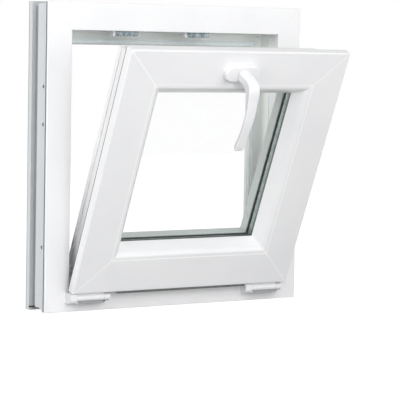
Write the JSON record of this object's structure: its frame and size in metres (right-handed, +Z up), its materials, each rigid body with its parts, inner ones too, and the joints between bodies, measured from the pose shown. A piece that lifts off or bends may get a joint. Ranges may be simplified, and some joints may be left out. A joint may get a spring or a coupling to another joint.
{
  "type": "tilt window",
  "caption": "Square double-glazed plastic window whose sash tilts into the room on bottom surface hinges and is worked by a lever handle.",
  "frame": {"origin": "middle of the flat foot under the sill, at the frame's outer side, where the window stands on the wall opening", "axes": "+Z up, +Y out of the building through the glass, +X to the right for a person in the room"},
  "size_m": [0.5, 0.2822, 0.5],
  "materials": {
    "frame_white": "smooth white extruded plastic",
    "sash_white": "smooth white extruded plastic",
    "bead_white": "smooth white extruded plastic",
    "seal_grey": "light grey soft seal",
    "glass_clear": "clear, slightly green at the edge",
    "spacer_metal": "mill finish",
    "edge_seal_black": "matt black sealant",
    "keep_zinc": "zinc plated",
    "lock_rail_steel": "zinc plated",
    "hinge_white": "white powder coat",
    "pin_steel": "plain steel",
    "handle_white": "white powder coat",
    "plastic_white": "moulded white plastic"
  },
  "bodies": {
    "frame": {"frame_sill": "frame_white", "frame_head": "frame_white", "frame_left_jamb": "frame_white", "frame_right_jamb": "frame_white", "frame_seal": "seal_grey", "left_keep": "keep_zinc", "left_keep_stop": "plastic_white", "right_keep": "keep_zinc", "right_keep_stop": "plastic_white", "left_hinge_frame_leaf": "hinge_white", "left_hinge_pin": "pin_steel", "right_hinge_frame_leaf": "hinge_white", "right_hinge_pin": "pin_steel"},
    "sash": {"left_hinge_sash_leaf": "hinge_white", "right_hinge_sash_leaf": "hinge_white", "sash_bottom_rail": "sash_white", "sash_top_rail": "sash_white", "sash_left_stile": "sash_white", "sash_right_stile": "sash_white", "bottom_bead": "bead_white", "top_bead": "bead_white", "left_bead": "bead_white", "right_bead": "bead_white", "bead_gasket": "seal_grey", "outer_gasket": "seal_grey", "inner_pane": "glass_clear", "outer_pane": "glass_clear", "glass_spacer": "spacer_metal", "glass_edge_seal": "edge_seal_black", "sash_seal": "seal_grey", "lock_rail": "lock_rail_steel", "handle_rosette": "handle_white"},
    "handle": {"handle_lever": "handle_white", "handle_spindle": "pin_steel"}
  },
  "joints": [
    {"name": "sash_tilt", "type": "hinge", "parent": "frame", "child": "sash", "pos_m": [0, -0.068, 0.0232], "axis": [1, 0, 0], "range_deg": [-22.9, 0]},
    {"name": "handle_turn", "type": "hinge", "parent": "sash", "child": "handle", "pos_m": [0, -0.23335, 0.39279], "axis": [0, -0.9212, -0.3891], "range_deg": [0, 90]}
  ]
}
